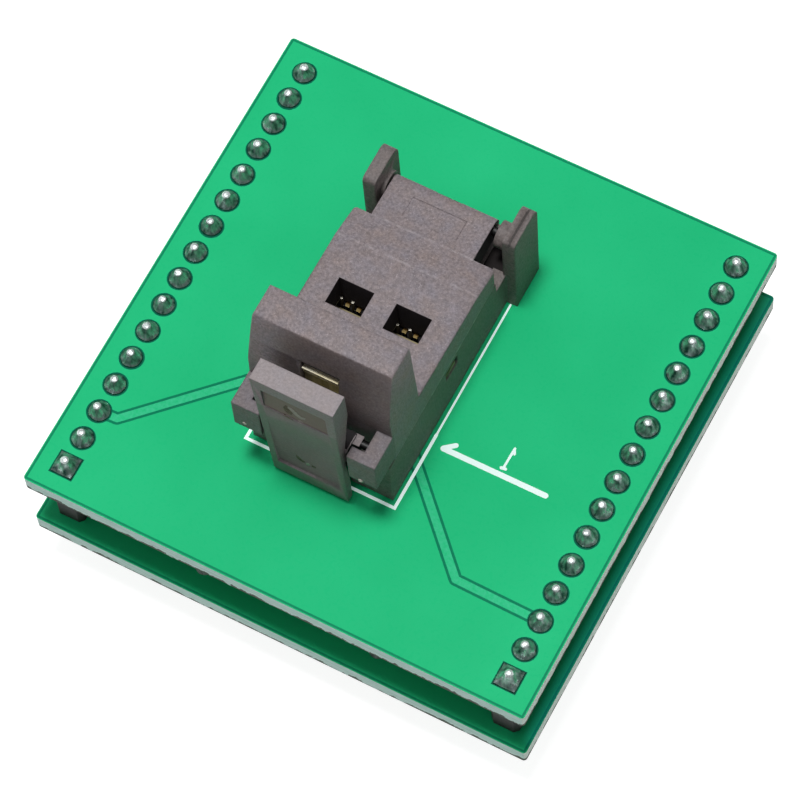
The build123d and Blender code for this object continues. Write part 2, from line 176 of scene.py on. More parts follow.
def blend(tree, share, a, b):
    """A colour mix in a tree, fed by colours or sockets."""
    node = tree.nodes.new("ShaderNodeMix")
    node.data_type = "RGBA"
    for socket, value in ((node.inputs[0], share), (node.inputs[6], a), (node.inputs[7], b)):
        if isinstance(value, (tuple, float, int)):
            socket.default_value = value
        else:
            tree.links.new(value, socket)
    return node.outputs[2]


def noise(tree, where, scale, detail=2.0, rough=0.5, spread=(0.0, 1.0)):
    """A noise value in a tree, stretched so that its usual range fills the given one."""
    node = tree.nodes.new("ShaderNodeTexNoise")
    node.inputs["Scale"].default_value = scale
    node.inputs["Detail"].default_value = detail
    node.inputs["Roughness"].default_value = rough
    tree.links.new(where, node.inputs["Vector"])
    fit = tree.nodes.new("ShaderNodeMapRange")
    fit.inputs["From Min"].default_value = 0.28
    fit.inputs["From Max"].default_value = 0.72
    fit.inputs["To Min"].default_value, fit.inputs["To Max"].default_value = spread
    tree.links.new(node.outputs["Fac"], fit.inputs["Value"])
    return fit.outputs[0]


def within(tree, value, low, high):
    """1 where a length lies between two in millimetres."""
    return calc(tree, "COMPARE", value, (low + high) / 2 * mm, (high - low) / 2 * mm)


def off(tree, value, middle):
    """How far a length is from one in millimetres, either way."""
    return calc(tree, "ABSOLUTE", calc(tree, "SUBTRACT", value, middle * mm))


def over(tree, value, limit):
    """1 where a value lies over a limit."""
    return calc(tree, "GREATER_THAN", value, limit)


def under(tree, value, limit):
    """1 where a value lies under a limit."""
    return calc(tree, "LESS_THAN", value, limit)


def both(tree, *shares):
    """Masks and shares multiplied, so that it is 1 only where all of them are."""
    product = shares[0]
    for share in shares[1:]:
        product = calc(tree, "MULTIPLY", product, share)
    return product


def rise(tree, value, low, high, bend="LINEAR"):
    """0 below low, 1 above high, and a rise between them."""
    node = tree.nodes.new("ShaderNodeMapRange")
    node.interpolation_type = bend
    node.inputs["From Min"].default_value, node.inputs["From Max"].default_value = low, high
    tree.links.new(value, node.inputs["Value"])
    return node.outputs[0]


def place_and_facing(tree):
    """Where a point lies on its piece, whole and as x, y and z, and the x, y and z that its face looks to."""
    where = tree.nodes.new("ShaderNodeTexCoord").outputs["Object"]
    axes, facing = tree.nodes.new("ShaderNodeSeparateXYZ"), tree.nodes.new("ShaderNodeSeparateXYZ")
    tree.links.new(where, axes.inputs[0])
    tree.links.new(tree.nodes.new("ShaderNodeNewGeometry").outputs["Normal"], facing.inputs[0])
    return where, axes.outputs, facing.outputs


def relief(finish, shader, height_socket, depth, strength=1.0):
    """A bump from a height of 0 to 1 into a shader's normal; depth is in millimetres."""
    bump = finish.node_tree.nodes.new("ShaderNodeBump")
    bump.inputs["Strength"].default_value = strength
    bump.inputs["Distance"].default_value = depth * mm
    finish.node_tree.links.new(height_socket, bump.inputs["Height"])
    finish.node_tree.links.new(bump.outputs[0], shader.inputs["Normal"])


# distance from a point to a straight run, in metres, flat on the board
run_away, run_in, run_out = new_effect(
    "distance_to_run", [("Point", "NodeSocketVector", None), ("Start", "NodeSocketVector", None),
                        ("End", "NodeSocketVector", None)], [("Distance", "NodeSocketFloat")])


def vector_step(tree, what, a, b, scale=None):
    """A vector math node in a tree, fed by sockets."""
    node = tree.nodes.new("ShaderNodeVectorMath")
    node.operation = what
    tree.links.new(a, node.inputs[0])
    if b is not None:
        tree.links.new(b, node.inputs[1])
    if scale is not None:
        tree.links.new(scale, node.inputs["Scale"])
    return node


from_start = vector_step(run_away, "SUBTRACT", run_in.outputs["Point"], run_in.outputs["Start"]).outputs[0]
full_run = vector_step(run_away, "SUBTRACT", run_in.outputs["End"], run_in.outputs["Start"]).outputs[0]
along = calc(run_away, "DIVIDE", vector_step(run_away, "DOT_PRODUCT", from_start, full_run).outputs["Value"],
             vector_step(run_away, "DOT_PRODUCT", full_run, full_run).outputs["Value"])
along = calc(run_away, "MINIMUM", calc(run_away, "MAXIMUM", along, 0.0), 1.0)
foot = vector_step(run_away, "SCALE", full_run, None, along).outputs[0]
gap = vector_step(run_away, "SUBTRACT", from_start, foot)
reach = vector_step(run_away, "LENGTH", gap.outputs[0], None)
run_away.links.new(reach.outputs["Value"], run_out.inputs["Distance"])


def board_finish(name, traces, top_z):
    """Solder mask over copper, with a clearance line round the pour and along each trace."""
    finish, nodes, links, shader = new_finish(name, 0.3)
    shader.inputs["Specular IOR Level"].default_value = 0.06
    tree = finish.node_tree
    where, axes, facing = place_and_facing(tree)
    far_x, far_y = calc(tree, "ABSOLUTE", axes["X"]), calc(tree, "ABSOLUTE", axes["Y"])
    on_top = over(tree, axes["Z"], (top_z - 0.1) * mm)
    # rim line: the pour stops a little inside the board's edge
    inside = calc(tree, "SUBTRACT", half_board * mm, calc(tree, "MAXIMUM", far_x, far_y))
    line = both(tree, calc(tree, "COMPARE", inside, 0.17 * mm, 0.09 * mm), 0.85)
    # clearance lines on both sides of each trace, and the copper of the trace between them
    flat = nodes.new("ShaderNodeVectorMath")
    flat.operation = "MULTIPLY"
    flat.inputs[1].default_value = (1, 1, 0)
    links.new(where, flat.inputs[0])
    band = None
    for corners in traces:
        near = None
        for start, end in zip(corners, corners[1:]):
            run = nodes.new("ShaderNodeGroup")
            run.node_tree = run_away
            run.inputs["Start"].default_value = (start[0] * mm, start[1] * mm, 0)
            run.inputs["End"].default_value = (end[0] * mm, end[1] * mm, 0)
            links.new(flat.outputs[0], run.inputs["Point"])
            near = run.outputs[0] if near is None else calc(tree, "MINIMUM", near, run.outputs[0])
        side_line = calc(tree, "COMPARE", near, 0.42 * mm, 0.105 * mm)
        line = calc(tree, "MAXIMUM", line, both(tree, side_line, on_top))
        copper = both(tree, under(tree, near, 0.31 * mm), on_top)
        band = copper if band is None else calc(tree, "MAXIMUM", band, copper)
    green = blend(tree, noise(tree, where, 90.0, 3.0, 0.55), mask_green, cloudy_green)
    green = blend(tree, both(tree, band, noise(tree, where, 3200.0, 2.0, 0.6), 0.5), green, copper_green)
    green = blend(tree, line, green, line_green)
    # sawn laminate on the upright faces: pale layers with chipped glass along the lower half
    sawn = under(tree, calc(tree, "ABSOLUTE", facing["Z"]), 0.5)
    fibres = nodes.new("ShaderNodeMapping")
    fibres.inputs["Scale"].default_value = (0.35, 0.35, 4.0)
    links.new(where, fibres.inputs["Vector"])
    layers = noise(tree, fibres.outputs[0], 1500.0, 3.0, 0.6)
    chips = noise(tree, where, 900.0, 5.0, 0.65)
    low = under(tree, calc(tree, "ADD", axes["Z"], both(tree, chips, 0.75 * mm)), (top_z - 0.98) * mm)
    laminate = blend(tree, layers, (0.62, 0.70, 0.68, 1), (0.90, 0.96, 0.95, 1))
    laminate = blend(tree, both(tree, low, 0.85), laminate, (0.09, 0.12, 0.08, 1))
    # painted glow: the sawn edges above the chips give off a little light of their own, more on the faces turned right
    painted_edge_glow = blend(tree, over(tree, facing["X"], 0.5), (0.065, 0.150, 0.120, 1), (0.150, 0.185, 0.150, 1))
    painted_edge_glow = blend(tree, both(tree, sawn, calc(tree, "SUBTRACT", 1.0, low)), (0, 0, 0, 1), painted_edge_glow)
    if top_z == upper_top:
        # painted shade: a dark ring round the foot of each joint of the two header rows, the first of them square
        off_row = calc(tree, "SUBTRACT", far_x, header_x * mm)
        off_pad = calc(tree, "SUBTRACT", calc(tree, "FLOORED_MODULO", axes["Y"], pitch * mm), pitch / 2 * mm)
        round_gap = calc(tree, "SQRT", calc(tree, "ADD", both(tree, off_row, off_row), both(tree, off_pad, off_pad)))
        square_gap = calc(tree, "MAXIMUM", calc(tree, "ABSOLUTE", off_row), calc(tree, "ABSOLUTE", off_pad))
        first = under(tree, axes["Y"], -17.8 * mm)
        away = both(tree, round_gap, calc(tree, "SUBTRACT", 1.0, first))
        away = calc(tree, "ADD", away, both(tree, square_gap, first))
        pad_ring_shade = both(tree, under(tree, away, 1.02 * mm), under(tree, far_y, 20.3 * mm), on_top)
        green = blend(tree, pad_ring_shade, green, ring_shade_green)
    else:
        # painted shade darkens the lower board beside the upper one's right edge, and a painted reflection of the
        # bright ground glows on its own rim
        upward = both(tree, over(tree, facing["Z"], 0.5), rise(tree, axes["Y"], -21.3 * mm, -20.0 * mm))
        painted_rim_reflection = both(tree, rise(tree, axes["X"], 20.6 * mm, 21.3 * mm), upward)
        painted_edge_glow = blend(tree, painted_rim_reflection, painted_edge_glow, (0.002, 0.066, 0.055, 1))
        off_shade = off(tree, axes["X"], 20.2)
        shade = calc(tree, "SUBTRACT", 1.0, calc(tree, "DIVIDE", off_shade, 0.9 * mm))
        shade = both(tree, calc(tree, "MAXIMUM", shade, 0.0), upward, 0.6)
        green = blend(tree, shade, green, (0.001, 0.10, 0.04, 1))
    links.new(painted_edge_glow, shader.inputs["Emission Color"])
    shader.inputs["Emission Strength"].default_value = 1.0
    links.new(blend(tree, sawn, green, laminate), shader.inputs["Base Color"])
    weave = noise(tree, where, 2600.0, 2.0, 0.5, (0.24, 0.36))
    links.new(calc(tree, "MAXIMUM", weave, both(tree, sawn, 0.8)), shader.inputs["Roughness"])
    ripple = both(tree, noise(tree, where, 420.0, 3.0, 0.5), 0.5)
    sunk = calc(tree, "SUBTRACT", both(tree, layers, sawn), both(tree, line, 0.4))
    relief(finish, shader, calc(tree, "ADD", ripple, sunk), 0.02, 0.6)
    return finish


def coat(node_name, finish):
    """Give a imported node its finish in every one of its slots."""
    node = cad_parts[node_name]
    if not node.material_slots:
        node.data.materials.append(finish)
    for slot in node.material_slots:
        slot.material = finish


left_trace = [(-header_x, -13.97), (-17.50, -13.88), (-8.4, -4.77)]
right_trace = [(3.0, -5.05), (11.83, -13.87), (header_x, -13.97)]
coat("upper_board", board_finish("mask_upper", [left_trace, right_trace], upper_top))
lower_traces = [[(side * header_x, side * pitch / 2), (side * plug_x, side * pitch / 2)] for side in (-1, 1)]
coat("lower_board", board_finish("mask_lower", lower_traces, lower_top))


# White print on the upper board: the outline of the socket, and the arrow with its numeral that
# point at the first lead. It is a thin coat of ink with slightly soft edges.

def plate(sheet, top, low):
    """A closed plate in a bmesh, between an upper and a lower ring of corners."""
    sheet.faces.new(top)
    sheet.faces.new(low[::-1])
    for i in range(len(top)):
        k = (i + 1) % len(top)
        sheet.faces.new((top[i], low[i], low[k], top[k]))


def stroke(sheet, points, width, thick=0.02):
    """One brush line on the upper board: a flat strip along (x, y) points with rounded ends."""
    points = [Vector(p) for p in points]
    runs = [(b - a).normalized() for a, b in zip(points, points[1:])]
    near, far = [], []
    for point, before, after in zip(points, runs[:1] + runs, runs + runs[-1:]):
        middle = (before + after).normalized()
        out = Vector((-middle.y, middle.x)) * (width / 2 / max(0.5, middle.dot(before)))
        near.append(point + out)
        far.append(point - out)

    def cap(point, run, steps=6):
        turn = math.atan2(run.y, run.x) + math.pi / 2
        angles = [turn - math.pi * i / steps for i in range(1, steps)]
        return [point + Vector((math.cos(a), math.sin(a))) * width / 2 for a in angles]

    ring = near + cap(points[-1], runs[-1]) + far[::-1] + cap(points[0], -runs[0])
    top, low = ([sheet.verts.new((p.x * mm, p.y * mm, z * mm)) for p in ring] for z in (upper_top + thick, upper_top))
    plate(sheet, top, low)


def finished(name, sheet, finish, body, smooth=None):
    """A bmesh made an object with its finish, which rides on its body if it has one."""
    bmesh.ops.recalc_face_normals(sheet, faces=sheet.faces)
    mesh = bpy.data.meshes.new(name)
    sheet.to_mesh(mesh)
    sheet.free()
    mesh.materials.append(finish)
    if smooth is not None:
        mesh.shade_smooth()
        mesh.set_sharp_from_angle(angle=math.radians(smooth))
    piece = bpy.data.objects.new(name, mesh)
    shelf.objects.link(piece)
    if body:
        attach(piece, body)
    return piece


def print_ink(name, light, glow):
    """White ink, thinner in places; glow is a painted glow, light that the ink gives off of its own."""
    ink, nodes, links, shader = new_finish(name, 0.55)
    where = nodes.new("ShaderNodeTexCoord").outputs["Object"]
    thin = noise(ink.node_tree, where, 1800.0, 3.0, 0.6)
    for label, share, tints in (("Base Color", light, ((0.80, 0.95), (0.86, 0.97))),
                                ("Emission Color", glow, ((0.7, 0.92), (0.8, 0.95)))):
        tones = [(red * share, share, blue * share, 1) for red, blue in tints]
        links.new(blend(ink.node_tree, thin, *tones), shader.inputs[label])
    shader.inputs["Emission Strength"].default_value = 1.0
    relief(ink, shader, noise(ink.node_tree, where, 5000.0), 0.006, 0.7)
    return ink


outline = bmesh.new()
stroke(outline, [(-7.88, 8.3), (-7.88, -10.82), (5.0, -10.82), (5.0, -4.0)], 0.25)
stroke(outline, [(5.0, -4.2), (4.98, 8.3)], 0.16, 0.024)
# the outline's ink has a painted glow, so it stays bright beside the socket's wall
finished("printed_outline", outline, print_ink("outline_ink", 0.98, 0.24), "upper")
print_lines = bmesh.new()
for ends, width, thick in (([(6.0, -4.78), (14.72, -4.74)], 0.46, 0.02), ([(5.98, -4.74), (6.75, -4.12)], 0.40, 0.023),
                           ([(10.87, -2.32), (10.82, -4.10)], 0.20, 0.02),
                           ([(10.86, -2.36), (11.06, -2.76)], 0.20, 0.023),
                           ([(10.66, -4.20), (11.00, -4.16)], 0.26, 0.023)):
    stroke(print_lines, ends, width, thick)
finished("printed_arrow", print_lines, print_ink("arrow_ink", 0.90, 0.0), "upper")


# Solder joints of the 32 header pins: satin tin-lead cones that run down from the pin's end to its
# pad, each a little different. The first pad of each row is square.

def turned(name, profile, sides=24, lobes=0.0, square_below=0.0):
    """A mesh object turned about Z from (radius, height) points in millimetres.

    lobes is how far its flank runs in and out round the turn, as a share of the radius; below
    square_below its outline goes over into a square of the same half width.
    """
    sheet = bmesh.new()
    rings = []
    for r, z in profile:
        if r == 0:
            rings.append([sheet.verts.new((0, 0, z * mm))])
            continue
        ring = []
        for i in range(sides):
            a = 2 * math.pi * i / sides
            wave = 0.6 * math.sin(5 * a + 0.7) + 0.4 * math.sin(9 * a + 2.1)
            out = r * (1 - lobes * (1 + wave) * min(1, abs(z) / 0.2) * (1 if abs(z) < 0.9 else 0))
            corner = 1 / max(abs(math.cos(a)), abs(math.sin(a)))
            share = max(0.0, 1 - abs(z) / square_below) if square_below else 0.0
            out *= 1 + (corner - 1) * share
            ring.append(sheet.verts.new((out * mm * math.cos(a), out * mm * math.sin(a), z * mm)))
        rings.append(ring)
    for a, b in zip(rings, rings[1:]):
        for i in range(sides):
            k = (i + 1) % sides
            corners = [a[i % len(a)], a[k % len(a)], b[k % len(b)], b[i % len(b)]]
            corners = list(dict.fromkeys(corners))
            sheet.faces.new(corners)
    bmesh.ops.recalc_face_normals(sheet, faces=sheet.faces)
    mesh = bpy.data.meshes.new(name)
    sheet.to_mesh(mesh)
    sheet.free()
    mesh.shade_smooth()
    mesh.set_sharp_from_angle(angle=math.radians(50))
    thing = bpy.data.objects.new(name, mesh)
    shelf.objects.link(thing)
    return thing


copies = bpy.data.node_groups.new("copies_on_points", "GeometryNodeTree")
for label, kind, in_out in (("Places", "NodeSocketGeometry", "INPUT"), ("Pattern", "NodeSocketObject", "INPUT"),
                            ("Turn", "NodeSocketFloat", "INPUT"), ("Size Change", "NodeSocketFloat", "INPUT"),
                            ("Tilt", "NodeSocketFloat", "INPUT"), ("Seed", "NodeSocketInt", "INPUT"),
                            ("Finish", "NodeSocketMaterial", "INPUT"), ("Copies", "NodeSocketGeometry", "OUTPUT")):
    copies.interface.new_socket(label, in_out=in_out, socket_type=kind)
copies_in, copies_out = copies.nodes.new("NodeGroupInput"), copies.nodes.new("NodeGroupOutput")
pattern = copies.nodes.new("GeometryNodeObjectInfo")
copies.links.new(copies_in.outputs["Pattern"], pattern.inputs["Object"])
spread = copies.nodes.new("GeometryNodeInstanceOnPoints")
copies.links.new(copies_in.outputs["Places"], spread.inputs["Points"])
copies.links.new(pattern.outputs["Geometry"], spread.inputs["Instance"])


def chance(low, high, offset):
    """A random value for each copy, between two sockets or numbers."""
    node = copies.nodes.new("FunctionNodeRandomValue")
    lows = [s for s in node.inputs if s.name == "Min" and s.enabled][0]
    highs = [s for s in node.inputs if s.name == "Max" and s.enabled][0]
    for socket, value in ((lows, low), (highs, high)):
        if isinstance(value, (int, float)):
            socket.default_value = value
        else:
            copies.links.new(value, socket)
    seed = copies.nodes.new("ShaderNodeMath")
    seed.inputs[1].default_value = offset
    copies.links.new(copies_in.outputs["Seed"], seed.inputs[0])
    copies.links.new(seed.outputs[0], node.inputs["Seed"])
    return [s for s in node.outputs if s.enabled][0]


def scaled(socket, factor):
    """A socket's value times a number."""
    node = copies.nodes.new("ShaderNodeMath")
    node.operation = "MULTIPLY"
    node.inputs[1].default_value = factor
    copies.links.new(socket, node.inputs[0])
    return node.outputs[0]


turn = copies.nodes.new("ShaderNodeCombineXYZ")
for label, offset in (("X", 1), ("Y", 2)):
    tilt = copies_in.outputs["Tilt"]
    copies.links.new(chance(scaled(tilt, -1), tilt, offset), turn.inputs[label])
copies.links.new(chance(0, copies_in.outputs["Turn"], 3), turn.inputs["Z"])
copies.links.new(turn.outputs[0], spread.inputs["Rotation"])
one_less = copies.nodes.new("ShaderNodeMath")
one_less.operation = "SUBTRACT"
one_less.inputs[0].default_value = 1.0
copies.links.new(copies_in.outputs["Size Change"], one_less.inputs[1])
copies.links.new(chance(one_less.outputs[0], 1.0, 4), spread.inputs["Scale"])
realise = copies.nodes.new("GeometryNodeRealizeInstances")
copies.links.new(spread.outputs[0], realise.inputs[0])
dress = copies.nodes.new("GeometryNodeSetMaterial")
copies.links.new(realise.outputs[0], dress.inputs["Geometry"])
copies.links.new(copies_in.outputs["Finish"], dress.inputs["Material"])
copies.links.new(dress.outputs[0], copies_out.inputs["Copies"])


def laid_out(name, places, pattern_piece, finish, body, turn=0.0, change=0.0, tilt=0.0, seed=1,
             stands_for=()):
    """One piece made of a copy of the pattern at every place; the pattern itself is used up."""
    points = bpy.data.meshes.new(name + "_places")
    points.from_pydata([[v * mm for v in p] for p in places], [], [])
    holder = bpy.data.objects.new(name + "_holder", points)
    shelf.objects.link(holder)
    layout = holder.modifiers.new("copies", "NODES")
    layout.node_group = copies
    keys = {s.name: s.identifier for s in copies.interface.items_tree if s.in_out == "INPUT"}
    for label, value in (("Pattern", pattern_piece), ("Turn", turn), ("Size Change", change), ("Tilt", tilt),
                         ("Seed", seed), ("Finish", finish)):
        layout[keys[label]] = value
    view = bpy.context.evaluated_depsgraph_get()
    mesh = bpy.data.meshes.new_from_object(holder.evaluated_get(view), preserve_all_data_layers=True, depsgraph=view)
    mesh.name = name
    for spare in (holder, pattern_piece):
        bpy.data.objects.remove(spare)
    piece = bpy.data.objects.new(name, mesh)
    shelf.objects.link(piece)
    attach(piece, body)
    if stands_for:
        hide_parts(*stands_for)


row_ys = [(i - 7.5) * pitch for i in range(16)]

tarnish, tarnish_in, tarnish_out = new_effect(
    "metal_tarnish", [("Place", "NodeSocketVector", None), ("Bright", "NodeSocketColor", (0.6, 0.6, 0.6, 1)),
                      ("Dull", "NodeSocketColor", (0.3, 0.3, 0.3, 1)), ("Patch Scale", "NodeSocketFloat", 900.0),
                      ("Smooth", "NodeSocketFloat", 0.2), ("Rough", "NodeSocketFloat", 0.45)],
    [("Color", "NodeSocketColor"), ("Roughness", "NodeSocketFloat"), ("Height", "NodeSocketFloat")])
patch = tarnish.nodes.new("ShaderNodeTexNoise")
patch.inputs["Detail"].default_value = 4.0
tarnish.links.new(tarnish_in.outputs["Place"], patch.inputs["Vector"])
tarnish.links.new(tarnish_in.outputs["Patch Scale"], patch.inputs["Scale"])
patches = rise(tarnish, patch.outputs["Fac"], 0.35, 0.68)
mottled = blend(tarnish, patches, tarnish_in.outputs["Bright"], tarnish_in.outputs["Dull"])
tarnish.links.new(mottled, tarnish_out.inputs["Color"])
rough = tarnish.nodes.new("ShaderNodeMapRange")
tarnish.links.new(patches, rough.inputs["Value"])
tarnish.links.new(tarnish_in.outputs["Smooth"], rough.inputs["To Min"])
tarnish.links.new(tarnish_in.outputs["Rough"], rough.inputs["To Max"])
tarnish.links.new(rough.outputs[0], tarnish_out.inputs["Roughness"])
tarnish.links.new(patches, tarnish_out.inputs["Height"])


def metal(name, bright, dull, patch_scale=900.0, smooth=0.2, rough=0.45, depth=0.004, stretch=(1, 1, 1), metallic=1.0):
    """A metal finish with patches of tarnish, drawn out along an axis where the metal was drawn or rolled."""
    finish, nodes, links, shader = new_finish(name, metal=metallic)
    where = nodes.new("ShaderNodeTexCoord").outputs["Object"]
    drawn = nodes.new("ShaderNodeMapping")
    drawn.inputs["Scale"].default_value = stretch
    links.new(where, drawn.inputs["Vector"])
    effect = nodes.new("ShaderNodeGroup")
    effect.node_tree = tarnish
    links.new(drawn.outputs[0], effect.inputs["Place"])
    for label, value in (("Bright", (*bright, 1)), ("Dull", (*dull, 1)), ("Patch Scale", patch_scale),
                         ("Smooth", smooth), ("Rough", rough)):
        effect.inputs[label].default_value = value
    links.new(effect.outputs["Color"], shader.inputs["Base Color"])
    links.new(effect.outputs["Roughness"], shader.inputs["Roughness"])
    relief(finish, shader, effect.outputs["Height"], depth)
    return finish


def feed(finish, label, value):
    """Link a value into a socket of a material's shader."""
    finish.node_tree.links.new(value, finish.node_tree.nodes["Principled BSDF"].inputs[label])


# painted reflection: the tin's bright and dull tones are tinted teal for the green board it mirrors, the dull ones
# nearly black
header_tin = metal("header_tin", (0.42, 0.52, 0.50), (0.016, 0.060, 0.050), 2300.0, 0.24, 0.5, 0.04, (1, 1, 0.25), 0.75)
tree = header_tin.node_tree
axes = place_and_facing(tree)[1]
# painted highlight at the tip of each cone, and painted shade in a dark teal ring at its foot
apex_highlight = within(tree, axes["Z"], 15.72, 16.0)
foot_shade = within(tree, axes["Z"], 14.5, 14.78)
with_apex_highlight = blend(tree, apex_highlight, tree.nodes["Group"].outputs["Color"], (0.88, 0.97, 0.95, 1))
feed(header_tin, "Base Color", blend(tree, foot_shade, with_apex_highlight, (0.010, 0.085, 0.055, 1)))

solder_tin = metal("solder_tin", (0.50, 0.53, 0.53), (0.16, 0.19, 0.185), 1500.0, 0.26, 0.5, 0.03, (1, 1, 0.3), 0.62)
cone = turned("cone", [(0, 0), (0.93, 0), (0.915, 0.05), (0.85, 0.13), (0.76, 0.25), (0.66, 0.42), (0.56, 0.61),
                       (0.46, 0.80), (0.37, 0.96), (0.30, 1.06), (0.20, 1.13), (0.10, 1.155), (0, 1.16)], 40, 0.06)
laid_out("header_joints", [(x, y, upper_top) for x in (-header_x, header_x) for y in row_ys[1:]], cone, header_tin,
         "upper", 6.28, 0.04, 0.04, 3, ("header_solder_left", "header_solder_right"))
square_cone = turned("square_cone", [(0, 0), (0.94, 0), (0.93, 0.06), (0.84, 0.15), (0.74, 0.27), (0.64, 0.44),
                                     (0.55, 0.62), (0.46, 0.80), (0.37, 0.96), (0.30, 1.06), (0.20, 1.13),
                                     (0.10, 1.155), (0, 1.16)], 40, 0.05, 0.85)
laid_out("first_joints", [(x, row_ys[0], upper_top) for x in (-header_x, header_x)], square_cone, header_tin,
         "upper")


# Header and receptacle strips: black glass-filled plastic, moulded in one bar with a notch
# between every two pins, where a length can be snapped off.

grain, grain_in, grain_out = new_effect(
    "moulded_grain", [("Place", "NodeSocketVector", None), ("Plastic", "NodeSocketColor", (0.2, 0.2, 0.2, 1)),
                      ("Other Tone", "NodeSocketColor", (0.2, 0.2, 0.2, 1)),
                      ("Fleck", "NodeSocketColor", (0.5, 0.5, 0.5, 1)), ("Flecks", "NodeSocketFloat", 0.5),
                      ("Grain", "NodeSocketFloat", 0.2)],
    [("Color", "NodeSocketColor"), ("Roughness", "NodeSocketFloat"), ("Height", "NodeSocketFloat")])
place = grain_in.outputs["Place"]
fine = noise(grain, place, 11000.0, 2.0, 0.6, (-1.0, 1.0))
coarse = noise(grain, place, 4600.0, 2.0, 0.6, (-1.0, 1.0))
flow = noise(grain, place, 650.0, 3.0, 0.55)
cells = grain.nodes.new("ShaderNodeTexVoronoi")
cells.inputs["Scale"].default_value = 8200.0
grain.links.new(place, cells.inputs["Vector"])
chosen = grain.nodes.new("ShaderNodeSeparateColor")
grain.links.new(cells.outputs["Color"], chosen.inputs[0])
fleck = both(grain, over(grain, chosen.outputs[0], 0.7),
             calc(grain, "SUBTRACT", 1.0, both(grain, cells.outputs["Distance"], 2.2)))
fleck = calc(grain, "MAXIMUM", fleck, 0.0)
fleck = both(grain, fleck, chosen.outputs[1], grain_in.outputs["Flecks"])
tone = blend(grain, flow, grain_in.outputs["Plastic"], grain_in.outputs["Other Tone"])
tone = blend(grain, fleck, tone, grain_in.outputs["Fleck"])
specks = calc(grain, "ADD", both(grain, fine, 0.4), both(grain, coarse, 0.85))
shade = calc(grain, "ADD", 1.0, both(grain, grain_in.outputs["Grain"], specks))
grain.links.new(vector_step(grain, "SCALE", tone, None, shade).outputs[0], grain_out.inputs["Color"])
grain.links.new(calc(grain, "SUBTRACT", 0.62, both(grain, fleck, 0.3)), grain_out.inputs["Roughness"])
bumps = calc(grain, "ADD", both(grain, fine, 0.25), both(grain, coarse, 0.3))
grain.links.new(calc(grain, "ADD", 0.5, bumps), grain_out.inputs["Height"])


def moulded(name, plastic, other_tone, fleck_colour, flecks, grain_share, depth, radius=0.12):
    """A moulded plastic finish whose edges look rounded and paler; gives the material and its colour and height."""
    finish, nodes, links, shader = new_finish(name)
    tree = finish.node_tree
    where = nodes.new("ShaderNodeTexCoord").outputs["Object"]
    effect = nodes.new("ShaderNodeGroup")
    effect.node_tree = grain
    links.new(where, effect.inputs["Place"])
    for label, value in (("Plastic", (*plastic, 1)), ("Other Tone", (*other_tone, 1)), ("Fleck", (*fleck_colour, 1)),
                         ("Flecks", flecks), ("Grain", grain_share)):
        effect.inputs[label].default_value = value
    links.new(effect.outputs["Roughness"], shader.inputs["Roughness"])
    relief(finish, shader, effect.outputs["Height"], depth, 0.8)
    # the mould's radius: the surface turns over the edge, and the skin is paler there
    turned_edge = nodes.new("ShaderNodeBevel")
    turned_edge.samples = 8
    turned_edge.inputs["Radius"].default_value = radius * mm
    links.new(turned_edge.outputs[0], nodes["Bump"].inputs["Normal"])
    straight = nodes.new("ShaderNodeNewGeometry").outputs["Normal"]
    agreement = vector_step(tree, "DOT_PRODUCT", turned_edge.outputs[0], straight)
    edge_paleness = both(tree, calc(tree, "SUBTRACT", 1.0, agreement.outputs["Value"]), 0.9)
    edge_paleness = calc(tree, "MINIMUM", calc(tree, "MAXIMUM", edge_paleness, 0.0), 0.35)
    skin = blend(tree, edge_paleness, effect.outputs["Color"], (*fleck_colour, 1))
    links.new(skin, shader.inputs["Base Color"])
    return finish, skin, effect.outputs["Height"]


strip_black = moulded("strip_black", (0.020, 0.020, 0.022), (0.026, 0.025, 0.025), (0.10, 0.10, 0.10), 0.25, 0.2,
                      0.006)[0]
for strip in ("header_strip_left", "header_strip_right", "receptacle_strip_left", "receptacle_strip_right",
              "plug_strip_left", "plug_strip_right"):
    coat(strip, strip_black)


# Header pins and receptacle contacts: square brass wire with a gold flash, pointed at both ends,
# and tinned sleeves on tails that pass the lower board and have their joints under it.

gold_wire = metal("gold_wire", (0.93, 0.68, 0.27), (0.72, 0.50, 0.18), 700.0, 0.16, 0.32, 0.003, (1, 1, 0.15))
tinned = metal("tinned", (0.74, 0.74, 0.72), (0.50, 0.51, 0.50), 900.0, 0.22, 0.42, 0.003, (1, 1, 0.2))
square_pin = turned("square_pin", [(0, 7.66), (0.17, 7.66), (0.32, 7.86), (0.32, 14.98), (0.16, 15.72), (0, 15.74)],
                    4, 0, 99)
laid_out("header_pins", [(x, y, 0) for x in (-header_x, header_x) for y in row_ys], square_pin, gold_wire, "upper",
         stands_for=("header_pins_left", "header_pins_right"))
for side in ("left", "right"):
    coat("receptacle_contacts_" + side, tinned)

under_bell = turned("under_bell", [(0, 0), (0.85, 0), (0.83, -0.06), (0.66, -0.20), (0.50, -0.42), (0.40, -0.66),
                                   (0.30, -0.78), (0, -0.80)], 20)
laid_out("tail_joints", [(x, y, lower_under) for x in (-header_x, header_x) for y in row_ys], under_bell, solder_tin,
         "lower", 6.28, 0.08, 0.05, 5)


# Plug-in pins: turned brass pins with a gold flash, pressed through their strip and soldered
# on the lower board's upper face. A slim plug end with a blunt tip stands below a thick collar.

